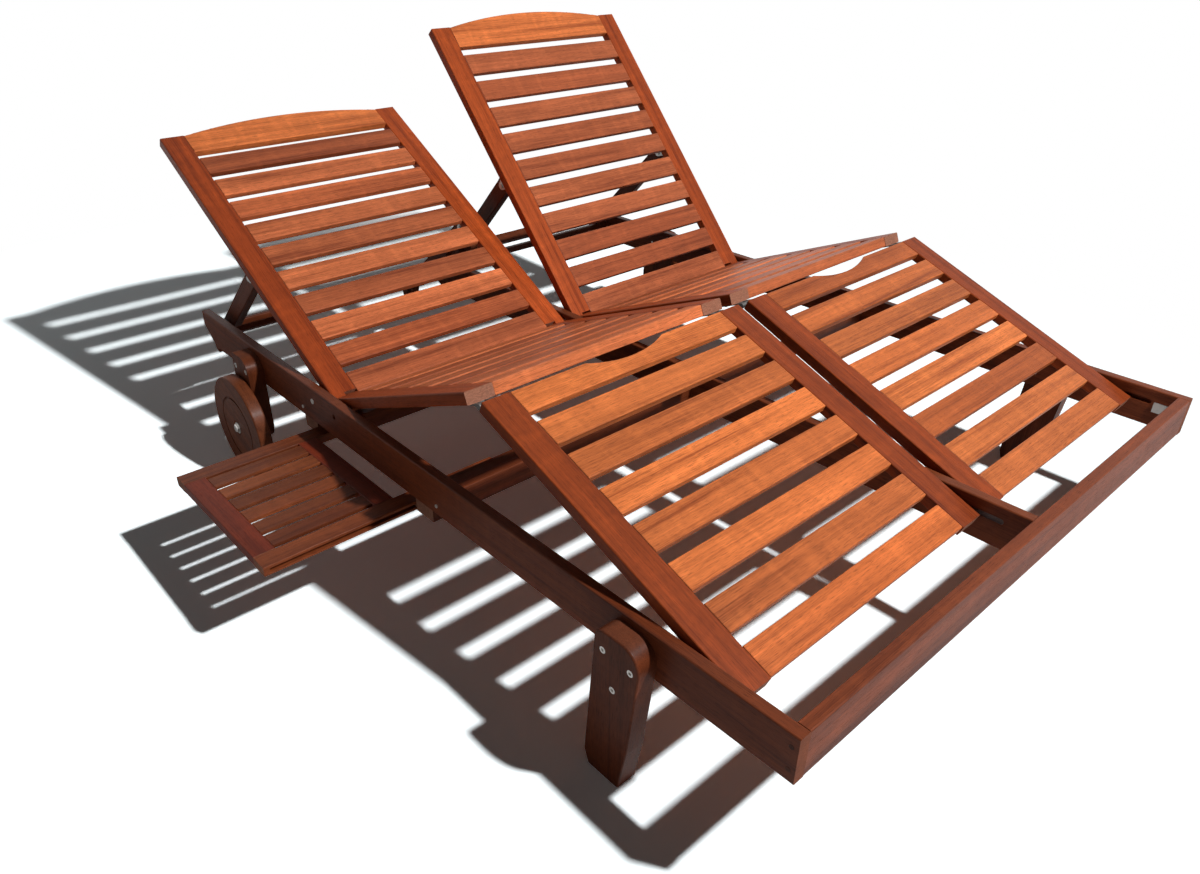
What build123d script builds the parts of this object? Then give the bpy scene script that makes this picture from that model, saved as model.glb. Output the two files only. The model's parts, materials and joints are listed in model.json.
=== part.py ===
import os
from math import asin, atan2, cos, degrees, hypot, radians, sin, tan

from build123d import *

# Double chaise lounger in hardwood, two reclining beds side by side on one wheeled base.
# Drawn with X across the beds, Y from the foot end to the head end and Z up from the floor.
# Lengths are in millimetres. At the end everything is moved so that the origin lies on the
# floor, under the middle of the box that the whole lounger fills.

# Base frame
frame_width = 1490.0
rail_tail = 57.0
rail_height = 90.0
rail_thickness = 24.0
rail_top = 339.0
rail_edge_radius = 3.0
nose_height = 42.0
nose_run = 62.0
nose_radius = 34.0

# Cross pieces between the rails
stretcher_thickness = 24.0
mid_stretcher_knee_gap = 131.0
seat_stretcher_setback = 50.0
rear_stretcher_reach = 106.0
stretcher_seat_gap = 0.3
stretcher_edge_radius = 2.0

# Bed panels, the same for the left and the right bed
panel_side_gap = 4.5
panel_thickness = 26.0
stile_width = 63.0
stile_edge_radius = 3.0
slat_width = 56.0
foot_clearance = 18.0
slat_thickness = 16.0
slat_edge_radius = 2.5

# Recline joint, where back and seat share one axis
hinge_height = 308.0
hinge_pin_diameter = 12.0
hinge_pin_fit = 0.05
knuckle_clearance = 0.5
knuckle_shoulder = 15.0
pivot_plate_thickness = 4.0
pivot_plate_height = 34.0
pivot_bolt_spacing = 100.0
pivot_bolt_drop = 2.0
pivot_plate_margin = 17.0

# Back panels
back_length = 920.0
left_back_angle = 29.5
right_back_angle = 48.3
crest_width = 64.0
crest_rise = 30.0
crest_gap = 18.0
back_heel_gap = 8.0
crest_thickness = 20.0
back_slat_count = 10

# Seat panels
seat_length = 585.0
seat_angle = 22.75
seat_front_rail_width = 47.0
seat_front_gap = 29.0
seat_heel_gap = 28.0
seat_slat_count = 6

# Knee hinge between seat and leg rest
knee_gap_half = 16.0
knee_leaf_thickness = 3.0
knee_leaf_width = 40.0
knee_leaf_length = 46.0
knee_barrel_radius = 6.5
knee_pin_radius = 3.0
knee_pin_fit = 0.05
knee_knuckle_gap = 0.3
knee_middle_share = 1 / 3
knee_screw_radius = 4.0
knee_screw_height = 2.0
knee_screw_inset = 10.0
knee_screw_shares = (1 / 4, 3 / 4)

# Leg rest panels
leg_length = 665.0
leg_foot_inset = 3.0
knee_slat_width = 67.0
leg_slat_count = 8
grip_length = 210.0
grip_depth = 22.0

# Foot pins that slide in the slots of the rails
foot_pin_setback = 36.0
foot_pin_diameter = 10.0
foot_pin_depth = 10.0
foot_pin_seat = 20.0
foot_pin_end_clearance = 0.5
slot_clearance = 0.8
slot_end_clearance = 1.0
blind_slot_depth = 12.0

# Props that hold the backs up
prop_pivot_place = 448.0
prop_arm_width = 45.0
prop_arm_thickness = 24.0
prop_arm_inset = 19.5
prop_arm_tail = 45.0
prop_edge_radius = 2.0
prop_bar_reach = 621.0
prop_bar_height = 303.0
prop_bar_size = 20.0
prop_bar_radius = 5.0
prop_notch_count = 4
prop_notch_offset = 5.0
prop_notch_clearance = 0.5
prop_notch_relief = 1.4
prop_ramp_angle = 48.0
prop_crossbar_place = 345.0
prop_crossbar_width = 30.0
prop_crossbar_thickness = 20.0
bracket_thickness = 3.0
bracket_length = 54.0
bracket_side_clearance = 0.5
bracket_top_clearance = 0.7
bracket_ear_radius = 12.0
prop_bolt_diameter = 8.0
prop_bolt_fit = 0.05
prop_bolt_head_radius = 7.0
prop_bolt_head_height = 4.0

# Front legs
leg_thickness = 41.0
leg_edge_radius = 4.0
front_leg_top = 324.0
front_leg_rear_top = 363.0
front_leg_front_top = 264.0
front_leg_heel = 387.0
front_leg_heel_height = 28.0
front_leg_sole_rear = 377.0
front_leg_sole_front = 301.0
front_leg_knee = 285.0
front_leg_knee_height = 94.0
front_leg_top_round = 24.0
front_leg_small_round = 10.0
front_leg_large_round = 40.0

# Rear legs and wheels
rear_leg_width = 88.0
rear_leg_top = 326.0
rear_leg_small_round = 12.0
wheel_radius = 136.0
wheel_thickness = 33.0
wheel_reach = 354.0
wheel_leg_gap = 4.0
wheel_groove_radius = 82.0
wheel_groove_width = 5.0
wheel_groove_depth = 4.0
wheel_hub_radius = 20.0
wheel_hub_recess = 2.0
wheel_edge_radius = 4.0
axle_diameter = 12.0
axle_fit = 0.08
axle_head_radius = 11.0
axle_head_height = 6.0
axle_washer_radius = 15.0
axle_washer_thickness = 2.0
axle_end_float = 0.4

# Bolts that show on the rails and legs
bolt_ring_radius = 6.5
bolt_ring_height = 1.6
bolt_shank_radius = 4.0
bolt_socket_radius = 3.0
bolt_socket_depth = 4.0
sunk_bolt_depth = 8.0
leg_bolt_rear = 344.0
leg_bolt_rear_height = 285.0
leg_bolt_front = 282.0
leg_bolt_front_height = 279.0
leg_bolt_low = 320.0
leg_bolt_low_height = 215.0
rear_leg_bolt_spacing = 58.0
rear_leg_bolt_height = 292.0
rail_screw_height = 271.0
rail_screw_radius = 4.0
rail_screw_shank_radius = 2.2
rail_screw_length = 60.0
rail_screw_inset = 0.4

# Steel angles inside the corners at the foot
corner_leg = 42.0
corner_height = 24.0
corner_thickness = 3.0
corner_base = 286.0
corner_screw_radius = 3.6
corner_screw_height = 1.4
corner_screw_share = 2 / 3

# Slide-out side tray and its guides
tray_setback = 349.0
tray_depth = 425.0
tray_top = 223.0
tray_thickness = 22.0
tray_outer_reach = 322.0
tray_board_length = 560.0
tray_board_width = 44.0
tray_stile_width = 46.0
tray_inner_reach = 13.0
tray_slat_count = 6
tray_slat_gap = 7.6
tray_slat_thickness = 14.0
tray_edge_radius = 2.0
guide_width = 63.0
guide_inset = 15.0
guide_clearance = 0.4
tongue_thickness = 8.0
tongue_reach = 10.0
tray_groove_margin = 3.0

# One overrun for every cut
overrun = 5.0

# Sizes worked out from the ones above
rail_bottom = rail_top - rail_height
bay_width = (frame_width - 3 * rail_thickness) / 2
centre_rail_left = rail_thickness + bay_width
centre_rail_right = centre_rail_left + rail_thickness
bay_starts = {"left": rail_thickness, "right": centre_rail_right}
panel_width = bay_width - 2 * panel_side_gap
half_panel = panel_thickness / 2
slat_length = panel_width - 2 * stile_width
back_slat_room = back_length - crest_width - crest_gap - slat_width - back_heel_gap
back_slat_pitch = back_slat_room / (back_slat_count - 1)
seat_slat_room = seat_length - seat_front_rail_width - seat_front_gap - slat_width - seat_heel_gap
seat_slat_pitch = seat_slat_room / (seat_slat_count - 1)
leg_slat_pitch = (leg_length - leg_foot_inset - knee_slat_width) / (leg_slat_count - 1)
back_angles = {"left": left_back_angle, "right": right_back_angle}

# Places along the lounger, all taken from the foot end and the recline joint
hinge_place = rail_thickness + foot_clearance + leg_length + 2 * knee_gap_half + seat_length
mid_stretcher_place = hinge_place - seat_length + mid_stretcher_knee_gap
seat_stretcher_place = hinge_place - seat_stretcher_setback
rear_stretcher_place = hinge_place + rear_stretcher_reach
prop_bar_place = hinge_place + prop_bar_reach
rail_length = prop_bar_place + rail_tail
wheel_place = hinge_place + wheel_reach
tray_front = hinge_place - tray_setback
panel_flat_bottom = hinge_height - half_panel
stretcher_top = panel_flat_bottom - stretcher_seat_gap
hinge_pin_radius = hinge_pin_diameter / 2

# Knee linkage: seat, leg rest and slot form a slider crank
knee_drop = half_panel + knee_barrel_radius
knee_run = seat_length + knee_gap_half
foot_run = knee_gap_half + leg_length - foot_pin_setback
seat_rise = radians(seat_angle)
knee_place = hinge_place - knee_run * cos(seat_rise) - knee_drop * sin(seat_rise)
knee_height = hinge_height + knee_run * sin(seat_rise) - knee_drop * cos(seat_rise)
foot_reach = hypot(foot_run, knee_drop)
leg_angle = degrees(asin((knee_height - hinge_height) / foot_reach) + atan2(knee_drop, foot_run))
leg_fall = radians(leg_angle)
foot_pin_rest = knee_place - foot_run * cos(leg_fall) - knee_drop * sin(leg_fall)
foot_pin_flat = hinge_place - knee_run - foot_run
foot_pin_radius = foot_pin_diameter / 2

# Prop linkage: the bar sits in one notch of each arm
prop_pivot_drop = half_panel + bracket_thickness + prop_arm_width / 2 + bracket_top_clearance
diagonal_share = 2 ** 0.5
prop_bar_corner = (prop_bar_size / 2 - prop_bar_radius) * diagonal_share + prop_bar_radius
prop_seat_radius = prop_bar_corner + prop_notch_clearance


def prop_pivot(side):
    """Axis of a prop's pivot, as a place along Y and a height."""
    turn = radians(back_angles[side])
    place = hinge_place + prop_pivot_place * cos(turn) + prop_pivot_drop * sin(turn)
    height = hinge_height + prop_pivot_place * sin(turn) - prop_pivot_drop * cos(turn)
    return place, height


def prop_reach(side):
    """Distance along an arm from its pivot to the notch that holds the bar."""
    place, height = prop_pivot(side)
    span = hypot(prop_bar_place - place, prop_bar_height - height)
    return (span ** 2 - prop_notch_offset ** 2) ** 0.5


def prop_angle(side):
    """Angle of an arm to the floor, downwards to the head end."""
    place, height = prop_pivot(side)
    fall = degrees(atan2(height - prop_bar_height, prop_bar_place - place))
    return fall - degrees(atan2(prop_notch_offset, prop_reach(side)))


prop_first_notch = prop_reach("left")
prop_last_notch = prop_reach("right")
prop_notch_pitch = (prop_last_notch - prop_first_notch) / (prop_notch_count - 1)
prop_arm_length = prop_last_notch + prop_arm_tail

# Tray sizes
tray_rear = tray_front + tray_depth
tray_bottom = tray_top - tray_thickness
tray_clear_depth = tray_depth - 2 * tray_board_width
tray_slat_width = (tray_clear_depth - (tray_slat_count + 1) * tray_slat_gap) / tray_slat_count


def block(x0, x1, y0, y1, z0, z1):
    """A plain board between two corners."""
    size = Box(x1 - x0, y1 - y0, z1 - z0, align=(Align.MIN, Align.MIN, Align.MIN))
    return Pos(x0, y0, z0) * size


def eased(solid, radius, axis):
    """Round the long edges of a board that run along one axis."""
    edges = solid.edges().filter_by(axis)
    return fillet(edges, radius)


def board_x(x0, x1, y0, y1, z0, z1, radius):
    return eased(block(x0, x1, y0, y1, z0, z1), radius, Axis.X)


def board_y(x0, x1, y0, y1, z0, z1, radius):
    return eased(block(x0, x1, y0, y1, z0, z1), radius, Axis.Y)


def rod_x(x0, x1, y, z, radius):
    """A round rod or bore along X."""
    rod = Cylinder(radius, x1 - x0, align=(Align.CENTER, Align.CENTER, Align.MIN))
    return Pos(x0, y, z) * (Rot(Y=90) * rod)


def plate_x(x0, x1, outline):
    """A plate with a closed outline in Y and Z, as thick as x0 to x1."""
    return extrude(Plane.YZ.offset(x0) * make_face(outline), x1 - x0)


def polygon(points):
    """A closed outline through points in Y and Z."""
    return Polyline(*points, close=True)


def across(solid):
    """The same solid on the other side of the lounger."""
    return mirror(solid, Plane.YZ.offset(frame_width / 2))


# Side rails, with a shaped nose at the head end
def rail_outline():
    nose_bottom = rail_length - nose_run
    points = [
        (0, rail_bottom),
        (nose_bottom, rail_bottom),
        (rail_length, rail_top - nose_height),
        (rail_length, rail_top),
        (0, rail_top),
    ]
    face = make_face(polygon(points))
    corners = face.vertices().filter_by(lambda v: v.X > nose_bottom - overrun and v.Y < rail_top - overrun)
    face = fillet(corners.sort_by(Axis.X)[:1], nose_radius)
    chin = face.vertices().sort_by_distance((rail_length, rail_top - nose_height))[0]
    return fillet([chin], nose_radius / 2)


def slot_cutter(x0, x1):
    """The slot that a foot pin slides in, as a rounded bar along Y."""
    radius = foot_pin_radius + slot_clearance
    start = foot_pin_flat - slot_end_clearance
    end = foot_pin_rest + slot_end_clearance
    outline = Plane.YZ.offset(x0) * Pos((start + end) / 2, hinge_height) * SlotOverall(
        end - start + 2 * foot_pin_radius, 2 * radius
    )
    return extrude(outline, x1 - x0)


def pivot_plate_recess(x0, x1):
    """The recess for a pivot plate in a rail's face."""
    half = pivot_bolt_spacing / 2 + pivot_plate_margin
    base = hinge_height - pivot_bolt_drop
    return block(
        x0, x1, hinge_place - half, hinge_place + half,
        base - pivot_plate_height / 2, base + pivot_plate_height / 2,
    )


def pivot_bolt_places():
    half = pivot_bolt_spacing / 2
    level = hinge_height - pivot_bolt_drop
    return [(hinge_place - half, level), (hinge_place + half, level)]


def prop_bar_section(clearance=0.0):
    size = prop_bar_size + 2 * clearance
    section = Rectangle(size, size)
    return Pos(prop_bar_place, prop_bar_height) * fillet(section.vertices(), prop_bar_radius)


def side_rail():
    rail = extrude(Plane.YZ * rail_outline(), rail_thickness)
    long_edges = rail.edges().filter_by(Axis.Y)
    rail = fillet(long_edges, rail_edge_radius)
    rail -= slot_cutter(rail_thickness - blind_slot_depth, rail_thickness + overrun)
    rail -= pivot_plate_recess(rail_thickness - pivot_plate_thickness, rail_thickness + overrun)
    for y, z in pivot_bolt_places():
        rail -= rod_x(-overrun, rail_thickness + overrun, y, z, bolt_shank_radius)
    sunk_y, sunk_z = pivot_bolt_places()[0]
    rail -= rod_x(-overrun, sunk_bolt_depth, sunk_y, sunk_z, bolt_ring_radius)
    for y, z in screw_places():
        rail -= rod_x(-overrun, rail_thickness + overrun, y, z, rail_screw_shank_radius)
    rail -= rod_x(
        rail_thickness - pivot_plate_thickness - hinge_pin_diameter, rail_thickness + overrun,
        hinge_place, hinge_height, hinge_pin_radius,
    )
    for y, z in front_bolt_places():
        if z > rail_bottom:
            rail -= rod_x(-overrun, rail_thickness + overrun, y, z, bolt_shank_radius)
    for y, z in rear_bolt_places():
        rail -= rod_x(-overrun, rail_thickness + overrun, y, z, bolt_shank_radius)
    return rail


def screw_places():
    return [
        (mid_stretcher_place, rail_screw_height),
        (rear_stretcher_place, rail_screw_height),
    ]


def front_bolt_places():
    return [
        (leg_bolt_rear, leg_bolt_rear_height),
        (leg_bolt_front, leg_bolt_front_height),
        (leg_bolt_low, leg_bolt_low_height),
    ]


def rear_bolt_places():
    half = rear_leg_bolt_spacing / 2
    return [(wheel_place - half, rear_leg_bolt_height), (wheel_place + half, rear_leg_bolt_height)]


def centre_rail():
    rail = Pos(centre_rail_left, 0, 0) * extrude(Plane.YZ * rail_outline(), rail_thickness)
    rail = fillet(rail.edges().filter_by(Axis.Y), rail_edge_radius)
    rail -= block(
        centre_rail_left - overrun, centre_rail_right + overrun,
        -overrun, rail_thickness, rail_bottom - overrun, rail_top + overrun,
    )
    rail -= slot_cutter(centre_rail_left - overrun, centre_rail_right + overrun)
    rail -= pivot_plate_recess(centre_rail_left - overrun, centre_rail_left + pivot_plate_thickness)
    rail -= pivot_plate_recess(centre_rail_right - pivot_plate_thickness, centre_rail_right + overrun)
    rail -= rod_x(
        centre_rail_left - overrun, centre_rail_right + overrun, hinge_place, hinge_height, hinge_pin_radius
    )
    for y, z in pivot_bolt_places():
        rail -= rod_x(centre_rail_left - overrun, centre_rail_right + overrun, y, z, bolt_shank_radius)
    return rail


def foot_rail():
    rail = block(rail_thickness, frame_width - rail_thickness, 0, rail_thickness, rail_bottom, rail_top)
    return eased(rail, rail_edge_radius, Axis.X)


def stretchers(place):
    """Two boards on edge in line, one in each bay."""
    half = stretcher_thickness / 2
    boards = []
    for start in bay_starts.values():
        board = board_x(start, start + bay_width, place - half, place + half,
                        rail_bottom, stretcher_top, stretcher_edge_radius)
        for y, z in screw_places():
            bore = rod_x(-overrun, rail_screw_length, y, z, rail_screw_shank_radius)
            board = board - bore - across(bore)
        boards.append(board)
    return boards


def prop_bars():
    return [
        extrude(Plane.YZ.offset(start) * prop_bar_section(), bay_width)
        for start in bay_starts.values()
    ]


def pivot_plates():
    """Steel plates let into the rails, each with the pin that one side of a bed turns on."""
    plates = []
    pin_reach = panel_side_gap + stile_width - knuckle_clearance
    for start in bay_starts.values():
        for inner, way in ((start, 1), (start + bay_width, -1)):
            back = inner - way * pivot_plate_thickness
            tip = inner + way * pin_reach
            half = pivot_bolt_spacing / 2 + pivot_plate_margin
            base = hinge_height - pivot_bolt_drop
            low, high = min(inner, back), max(inner, back)
            plate = block(
                low, high, hinge_place - half, hinge_place + half,
                base - pivot_plate_height / 2, base + pivot_plate_height / 2,
            )
            for y, z in pivot_bolt_places():
                plate -= rod_x(low - overrun, high + overrun, y, z, bolt_shank_radius)
            pin = rod_x(min(back, tip), max(back, tip), hinge_place, hinge_height, hinge_pin_radius)
            plates.append(plate + pin)
    return plates


# Legs
def front_leg():
    points = [
        (front_leg_front_top, front_leg_top),
        (front_leg_front_top, leg_bolt_front_height),
        (front_leg_knee, front_leg_knee_height),
        (front_leg_sole_front, 0),
        (front_leg_sole_rear, 0),
        (front_leg_heel, front_leg_heel_height),
        (front_leg_rear_top, front_leg_top),
    ]
    face = make_face(polygon(points))
    for y, z, radius in (
        (front_leg_front_top, front_leg_top, front_leg_large_round),
        (front_leg_rear_top, front_leg_top, front_leg_top_round),
        (front_leg_heel, front_leg_heel_height, front_leg_small_round),
    ):
        face = fillet(face.vertices().sort_by_distance((y, z))[:1], radius)
    leg = extrude(Plane.YZ.offset(-leg_thickness) * face, leg_thickness)
    leg = soften_outer_face(leg)
    for y, z in front_bolt_places():
        leg -= bolt_bore(y, z)
    return leg


def soften_outer_face(leg):
    """Round the rim of a leg's outer face, apart from its sole."""
    rim = leg.faces().sort_by(Axis.X)[0].edges()
    rim = rim.filter_by(lambda e: e.center().Z > front_leg_heel_height / 2)
    return fillet(rim, leg_edge_radius)


def bolt_bore(y, z):
    """Room in a leg for a bolt's shank, sleeve and ring."""
    bore = rod_x(-leg_thickness - overrun, overrun, y, z, bolt_shank_radius)
    return bore + rod_x(-leg_thickness - overrun, bolt_ring_height - leg_thickness, y, z, bolt_ring_radius)


def rear_leg():
    half = rear_leg_width / 2
    blank = plate_x(-leg_thickness, 0, polygon([
        (wheel_place - half, wheel_radius),
        (wheel_place + half, wheel_radius),
        (wheel_place + half, rear_leg_top),
        (wheel_place - half, rear_leg_top),
    ]))
    top_front = blank.edges().filter_by(Axis.X).sort_by(Axis.Z)[-2:].sort_by(Axis.Y)[:1]
    blank = fillet(top_front, front_leg_large_round)
    top_rear = blank.edges().filter_by(Axis.X).sort_by_distance((0, wheel_place + half, rear_leg_top))[:1]
    blank = fillet(top_rear, rear_leg_small_round)
    leg = blank + rod_x(-leg_thickness, 0, wheel_place, wheel_radius, half)
    for y, z in rear_bolt_places():
        leg -= bolt_bore(y, z)
    leg -= rod_x(-leg_thickness - overrun, overrun, wheel_place, wheel_radius, axle_diameter / 2)
    return leg


# Wheels turn on shouldered bolts through the rear legs
def wheel():
    outer = -leg_thickness - wheel_leg_gap - wheel_thickness
    disc = rod_x(outer, outer + wheel_thickness, wheel_place, wheel_radius, wheel_radius)
    disc = fillet(disc.edges().filter_by(GeomType.CIRCLE), wheel_edge_radius)
    ring = rod_x(outer - overrun, outer + wheel_groove_depth, wheel_place, wheel_radius,
                 wheel_groove_radius + wheel_groove_width / 2)
    ring -= rod_x(outer - overrun, outer + wheel_groove_depth, wheel_place, wheel_radius,
                  wheel_groove_radius - wheel_groove_width / 2)
    disc -= ring
    disc -= rod_x(outer - overrun, outer + wheel_hub_recess, wheel_place, wheel_radius, wheel_hub_radius)
    disc -= rod_x(outer - overrun, outer + wheel_thickness + overrun, wheel_place, wheel_radius,
                  axle_diameter / 2 + axle_fit)
    return disc


def wheel_bolt():
    outer = -leg_thickness - wheel_leg_gap - wheel_thickness
    face = outer + wheel_hub_recess
    washer_face = face - axle_end_float
    head_face = washer_face - axle_washer_thickness
    bolt = rod_x(head_face, 0, wheel_place, wheel_radius, axle_diameter / 2)
    bolt += rod_x(head_face, washer_face, wheel_place, wheel_radius, axle_washer_radius)
    head = rod_x(head_face - axle_head_height, head_face, wheel_place, wheel_radius, axle_head_radius)
    head = fillet(head.edges().filter_by(GeomType.CIRCLE).sort_by(Axis.X)[:1], axle_head_height / 2)
    spacer = rod_x(-leg_thickness - wheel_leg_gap + axle_end_float, -leg_thickness,
                   wheel_place, wheel_radius, axle_washer_radius)
    socket = rod_x(head_face - axle_head_height - overrun, head_face - axle_head_height / 2,
                   wheel_place, wheel_radius, bolt_socket_radius)
    return bolt + head + spacer - socket


# Bolts and screws, drawn for the left side and mirrored to the right
def ring_bolt(y, z, x_face, x_end):
    """A bolt with a round flanged head and a socket, along X from its face inwards."""
    bolt = rod_x(x_face, x_end, y, z, bolt_shank_radius)
    bolt += rod_x(x_face, x_face + bolt_ring_height, y, z, bolt_ring_radius)
    return bolt - rod_x(x_face - overrun, x_face + bolt_socket_depth, y, z, bolt_socket_radius)


def leg_bolts():
    bolts = []
    for y, z in front_bolt_places() + rear_bolt_places():
        end = rail_thickness if z > rail_bottom else 0
        bolt = ring_bolt(y, z, -leg_thickness, end)
        bolts += [bolt, across(bolt)]
    return bolts


def rail_bolts():
    bolts = []
    for (y, z), seat in zip(pivot_bolt_places(), (sunk_bolt_depth, 0)):
        face = seat - bolt_ring_height
        bolt = rod_x(face, rail_thickness, y, z, bolt_shank_radius)
        bolt += rod_x(face, seat, y, z, bolt_ring_radius)
        bolt -= rod_x(face - overrun, face + bolt_socket_depth, y, z, bolt_socket_radius)
        bolts += [bolt, across(bolt)]
    for y, z in screw_places():
        screw = rod_x(-rail_screw_inset, rail_screw_length, y, z, rail_screw_shank_radius)
        screw += rod_x(-rail_screw_inset - bolt_ring_height, 0, y, z, rail_screw_radius)
        bolts += [screw, across(screw)]
    return bolts


def corner_bracket():
    x0 = rail_thickness
    y0 = rail_thickness
    top = corner_base + corner_height
    bracket = block(x0, x0 + corner_leg, y0, y0 + corner_thickness, corner_base, top)
    bracket += block(x0, x0 + corner_thickness, y0, y0 + corner_leg, corner_base, top)
    middle = corner_base + corner_height / 2
    far = corner_leg * corner_screw_share
    head = rod_x(x0 + corner_thickness, x0 + corner_thickness + corner_screw_height, y0 + far, middle,
                 corner_screw_radius)
    other = Cylinder(corner_screw_radius, corner_screw_height, align=(Align.CENTER, Align.CENTER, Align.MIN))
    other = Pos(x0 + far, y0 + corner_thickness, middle) * (Rot(X=-90) * other)
    return bracket + head + other


# Panels are drawn flat, hinge axis at the origin, then tilted and put in their bay
def put_back(solid, side):
    return Pos(panel_start(side), hinge_place, hinge_height) * (Rot(X=back_angles[side]) * solid)


def put_seat(solid, side):
    return Pos(panel_start(side), hinge_place, hinge_height) * (Rot(X=-seat_angle) * solid)


def put_leg(solid, side):
    return Pos(panel_start(side), knee_place, knee_height) * (Rot(X=leg_angle) * solid)


def put_prop(solid, side):
    place, height = prop_pivot(side)
    return Pos(panel_start(side), place, height) * (Rot(X=-prop_angle(side)) * solid)


def panel_start(side):
    return bay_starts[side] + panel_side_gap


def flip(solid):
    """The same piece for the other edge of a panel."""
    return mirror(solid, Plane.YZ.offset(panel_width / 2))


def knuckle_stile(length, outer_lap):
    """A stile along +Y whose first end is halved and rounded to turn on the hinge pin."""
    half_lap = stile_width / 2
    stile = block(0, stile_width, 0, length, -half_panel, half_panel)
    stile += rod_x(0, stile_width, 0, 0, half_panel)
    lap_start = half_lap - knuckle_clearance / 2 if outer_lap else -overrun
    lap_end = stile_width + overrun if outer_lap else half_lap + knuckle_clearance / 2
    stile -= block(lap_start, lap_end, -panel_thickness, knuckle_shoulder,
                   -panel_thickness, panel_thickness)
    stile -= rod_x(-overrun, stile_width + overrun, 0, 0, hinge_pin_radius + hinge_pin_fit)
    edges = stile.edges().filter_by(Axis.Y).filter_by(lambda e: e.length > length / 2)
    return fillet(edges, stile_edge_radius)


def back_stile():
    return knuckle_stile(back_length, True)


def slat(start, width, thickness=slat_thickness):
    """A slat across a panel, flush with its top face, from start along Y."""
    return board_x(stile_width, stile_width + slat_length, start, start + width,
                   half_panel - thickness, half_panel, slat_edge_radius)


def back_slats():
    first = back_length - crest_width - crest_gap - slat_width
    return [slat(first - index * back_slat_pitch, slat_width) for index in range(back_slat_count)]


def back_crest():
    """The arched top rail of a back."""
    x0 = stile_width
    x1 = panel_width - stile_width
    low = back_length - crest_width
    arch = ThreePointArc((x0, back_length), (panel_width / 2, back_length + crest_rise), (x1, back_length))
    sides = Polyline((x0, back_length), (x0, low), (x1, low), (x1, back_length))
    face = make_face(arch + sides)
    crest = extrude(Pos(0, 0, half_panel - crest_thickness) * face, crest_thickness)
    long_edges = crest.edges().filter_by(lambda e: e.length > slat_length / 2)
    return fillet(long_edges, slat_edge_radius)


def seat_stile():
    stile = knuckle_stile(seat_length, False)
    return mirror(stile, Plane.XZ)


def seat_slats():
    rail = slat(-seat_length, seat_front_rail_width, panel_thickness)
    first = seat_front_rail_width + seat_front_gap - seat_length
    return [rail] + [slat(first + index * seat_slat_pitch, slat_width) for index in range(seat_slat_count)]


def leg_stile():
    """A leg rest stile, drawn with the knee axis at the origin and the foot end towards -Y."""
    top = knee_drop + half_panel
    stile = board_y(0, stile_width, -knee_gap_half - leg_length, -knee_gap_half,
                    knee_drop - half_panel, top, stile_edge_radius)
    bore_depth = foot_pin_seat
    return stile - rod_x(-overrun, bore_depth, -foot_run, knee_drop, foot_pin_radius)


def leg_slats():
    top = knee_drop + half_panel
    foot = -knee_gap_half - leg_length + leg_foot_inset
    slats = []
    for index in range(leg_slat_count):
        start = foot + index * leg_slat_pitch
        last = index == leg_slat_count - 1
        end = -knee_gap_half if last else start + slat_width
        piece = board_x(stile_width, stile_width + slat_length, start, end,
                        top - slat_thickness, top, slat_edge_radius)
        if last:
            piece -= hand_grip(top)
        slats.append(piece)
    return slats


def hand_grip(top):
    """The shallow scallop in the knee slat that takes a hand."""
    edge = -knee_gap_half
    middle = panel_width / 2
    half = grip_length / 2
    arc = ThreePointArc((middle - half, edge), (middle, edge - grip_depth), (middle + half, edge))
    lid = Polyline((middle - half, edge), (middle - half, edge + overrun),
                   (middle + half, edge + overrun), (middle + half, edge))
    face = make_face(arc + lid)
    return extrude(Pos(0, 0, top - slat_thickness - overrun) * face, slat_thickness + 2 * overrun)


def foot_pin():
    """The steel pin between a leg rest's stile and the slot in the rail."""
    reach = panel_side_gap + foot_pin_depth
    return rod_x(-reach, foot_pin_seat - foot_pin_end_clearance, -foot_run, knee_drop, foot_pin_radius)


# Knee hinges, one under each pair of stiles
def knee_spans():
    """The stretch of X that the middle knuckle and the two outer knuckles take."""
    start = (stile_width - knee_leaf_width) / 2
    end = start + knee_leaf_width
    middle = knee_leaf_width * knee_middle_share
    inner_start = start + (knee_leaf_width - middle) / 2
    inner_end = inner_start + middle
    return start, inner_start, inner_end, end


def knee_leaf(way, spans):
    """A hinge leaf under a stile, on the side of the knee that way points to, with its knuckles."""
    start, _, _, end = knee_spans()
    near = knee_gap_half
    far = near + knee_leaf_length
    under = knee_drop - half_panel
    y0, y1 = (near, far) if way > 0 else (-far, -near)
    leaf = block(start, end, y0, y1, under - knee_leaf_thickness, under)
    screw_y = way * (far - knee_screw_inset)
    for share in knee_screw_shares:
        head = Cylinder(knee_screw_radius, knee_screw_height, align=(Align.CENTER, Align.CENTER, Align.MAX))
        leaf += Pos(start + knee_leaf_width * share, screw_y, under - knee_leaf_thickness) * head
    for x0, x1 in spans:
        leaf += rod_x(x0, x1, 0, 0, knee_barrel_radius)
        strap = polygon([
            (0, under), (way * near, under), (way * near, under - knee_leaf_thickness),
            (0, -knee_barrel_radius / 2),
        ])
        leaf += plate_x(x0, x1, strap)
    return leaf


def knee_upper():
    start, inner_start, inner_end, end = knee_spans()
    leaf = knee_leaf(1, [(start, inner_start), (inner_end, end)])
    clear = rod_x(inner_start, inner_end, 0, 0, knee_barrel_radius + knee_knuckle_gap)
    leaf -= clear
    return leaf + rod_x(start, end, 0, 0, knee_pin_radius)


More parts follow.
